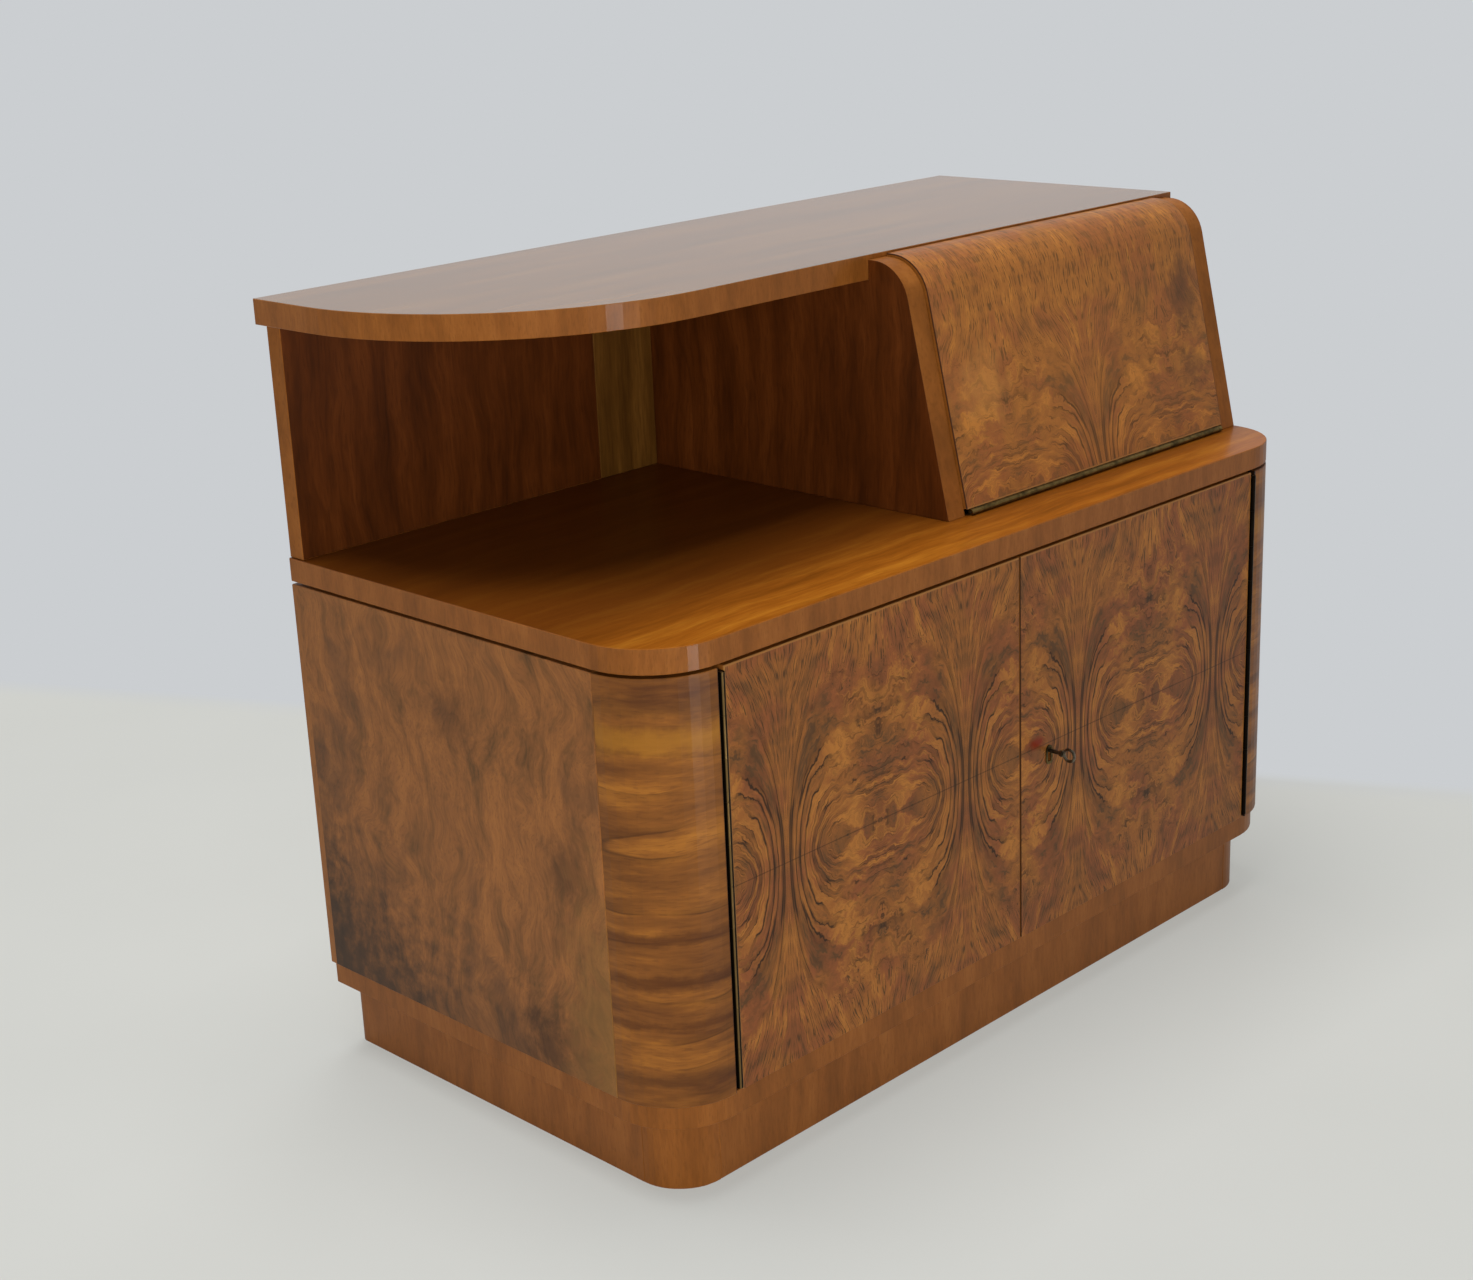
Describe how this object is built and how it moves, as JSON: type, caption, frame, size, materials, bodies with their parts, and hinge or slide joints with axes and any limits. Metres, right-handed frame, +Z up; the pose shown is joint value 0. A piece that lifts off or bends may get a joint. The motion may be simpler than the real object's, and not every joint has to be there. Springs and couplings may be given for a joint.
{
  "type": "bar cabinet",
  "caption": "Walnut-veneered cabinet with round front corners, a two-door cupboard, an open niche and a curved fall-front bar under a top board with one large rounded corner.",
  "frame": {"origin": "on the floor, under the centre of the closed cabinet with its key in place", "axes": "+Z up, -Y towards the front with the doors and the flap, +X to the right as seen from the front"},
  "size_m": [1.02, 0.554, 0.8],
  "materials": {
    "walnut": "glossy walnut veneer",
    "honey_walnut": "glossy honey-coloured walnut veneer",
    "dark_walnut": "satin dark walnut veneer",
    "pale_sapwood": "satin sapwood veneer",
    "inner_wood": "plain matt wood",
    "brass": "aged brass",
    "steel": "nickelled steel"
  },
  "bodies": {
    "carcass": {"plinth_front_rail": "walnut", "plinth_left_rail": "walnut", "plinth_right_rail": "walnut", "plinth_back_rail": "inner_wood", "plinth_left_corner": "walnut", "plinth_right_corner": "walnut", "base_board": "walnut", "left_side": "walnut", "right_side": "walnut", "left_corner_post": "honey_walnut", "right_corner_post": "honey_walnut", "carcass_back": "inner_wood", "sub_top": "inner_wood", "cupboard_shelf": "inner_wood", "left_shelf_batten": "inner_wood", "right_shelf_batten": "inner_wood", "worktop": "honey_walnut", "left_door_hinge_post_leaf": "brass", "left_door_hinge_pin": "steel", "right_door_hinge_post_leaf": "brass", "right_door_hinge_pin": "steel", "niche_back": "dark_walnut", "niche_back_infill": "pale_sapwood", "bar_left_side": "walnut", "bar_right_side": "walnut", "bar_back": "inner_wood", "top_board": "walnut", "flap_hinge_worktop_leaf": "brass", "flap_hinge_pin": "steel"},
    "left_door": {"left_door": "walnut", "left_door_hinge_door_leaf": "brass", "upper_bolt_plate": "brass", "lower_bolt_plate": "brass", "lock_keeper": "brass"},
    "right_door": {"right_door": "walnut", "right_door_hinge_door_leaf": "brass", "lock_case": "steel", "escutcheon": "brass"},
    "flap": {"flap": "walnut", "flap_hinge_flap_leaf": "brass"},
    "key": {"key": "steel"},
    "lock_bolt": {"lock_bolt": "brass"},
    "upper_bolt": {"upper_bolt": "brass"},
    "lower_bolt": {"lower_bolt": "brass"}
  },
  "joints": [
    {"name": "left_door_swing", "type": "hinge", "parent": "carcass", "child": "left_door", "pos_m": [-0.4185, -0.243, 0.1015], "axis": [0, 0, -1], "range_deg": [0, 165]},
    {"name": "right_door_swing", "type": "hinge", "parent": "carcass", "child": "right_door", "pos_m": [0.4185, -0.243, 0.1015], "axis": [0, 0, 1], "range_deg": [0, 165]},
    {"name": "flap_fall", "type": "hinge", "parent": "carcass", "child": "flap", "pos_m": [0, -0.1683, 0.5445], "axis": [1, 0, 0], "range_deg": [0, 104]},
    {"name": "key_turn", "type": "hinge", "parent": "right_door", "child": "key", "pos_m": [0.047, -0.243, 0.2965], "axis": [0, -1, 0], "range_deg": [0, 360]},
    {"name": "lock_bolt_slide", "type": "slide", "parent": "right_door", "child": "lock_bolt", "axis": [-1, 0, 0], "range_m": [0, 0.012]},
    {"name": "upper_bolt_slide", "type": "slide", "parent": "left_door", "child": "upper_bolt", "axis": [0, 0, 1], "range_m": [0, 0.012]},
    {"name": "lower_bolt_slide", "type": "slide", "parent": "left_door", "child": "lower_bolt", "axis": [0, 0, -1], "range_m": [0, 0.012]}
  ],
  "couplings": [
    {"joint": "key_turn", "follows": "lock_bolt_slide", "rad_per_m": 523.59}
  ]
}
